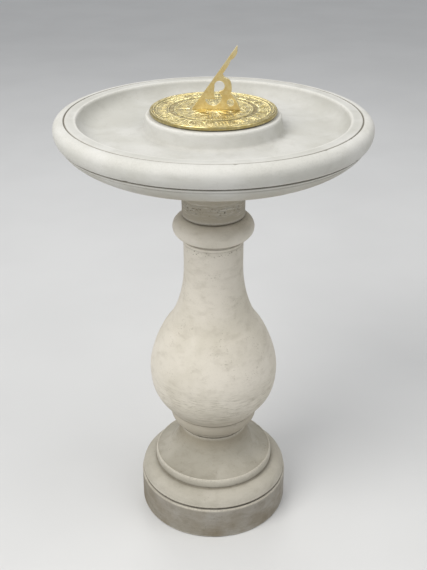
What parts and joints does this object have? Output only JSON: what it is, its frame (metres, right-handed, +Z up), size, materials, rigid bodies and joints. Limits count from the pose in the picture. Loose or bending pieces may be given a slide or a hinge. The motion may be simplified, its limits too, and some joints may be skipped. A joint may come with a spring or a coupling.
{
  "type": "garden sundial",
  "caption": "Cast-stone baluster pedestal carrying a shallow dished bowl, with a round brass dial and pierced gnomon that turn on a central stud.",
  "frame": {"origin": "on the ground, at the centre of the round plinth", "axes": "+Z up; +X along the noon line, from the toe of the gnomon to its high end, which points to the pole when the dial is set"},
  "size_m": [0.4487, 0.4488, 0.7653],
  "materials": {
    "plinth_stone": "cast stone, weathered grey-brown with earth stains, matt",
    "foot_stone": "cast stone, beige-grey, matt, with rubbed lighter edges",
    "baluster_stone": "cast stone, warm pale beige, fine lathe lines and small pits, matt",
    "bowl_stone": "cast stone, pale warm white with faint marbled mottling, smooth matt",
    "mortar": "dark weathered mortar, recessed",
    "packer_plastic": "plain moulded",
    "stainless": "machined stainless steel",
    "spring_steel": "oiled spring steel",
    "pad_rubber": "plain black rubber",
    "fixing_brass": "machined brass",
    "plate_brass": "cast brass, polished high spots over a satin ground",
    "gnomon_brass": "cast brass, satin, bright along the style"
  },
  "bodies": {
    "pedestal": {"plinth": "plinth_stone", "foot": "foot_stone", "baluster": "baluster_stone", "bowl": "bowl_stone", "lower_bed": "mortar", "middle_bed": "mortar", "upper_bed": "mortar", "lower_packers": "packer_plastic", "middle_packers": "packer_plastic", "upper_packers": "packer_plastic", "lower_dowel": "stainless", "middle_dowel": "stainless", "tube_dowel": "stainless", "stud_sleeve": "fixing_brass", "thrust_washer": "stainless", "spring_washer": "spring_steel", "pad_ring": "pad_rubber"},
    "dial": {"dial_plate": "plate_brass", "gnomon": "gnomon_brass", "gnomon_screws": "fixing_brass", "dial_stud": "fixing_brass", "stud_nut": "stainless", "lock_nut": "fixing_brass"}
  },
  "joints": [
    {"name": "dial_turn", "type": "hinge", "parent": "pedestal", "child": "dial", "pos_m": [0, 0, 0.6732], "axis": [0, 0, 1], "continuous": true}
  ]
}
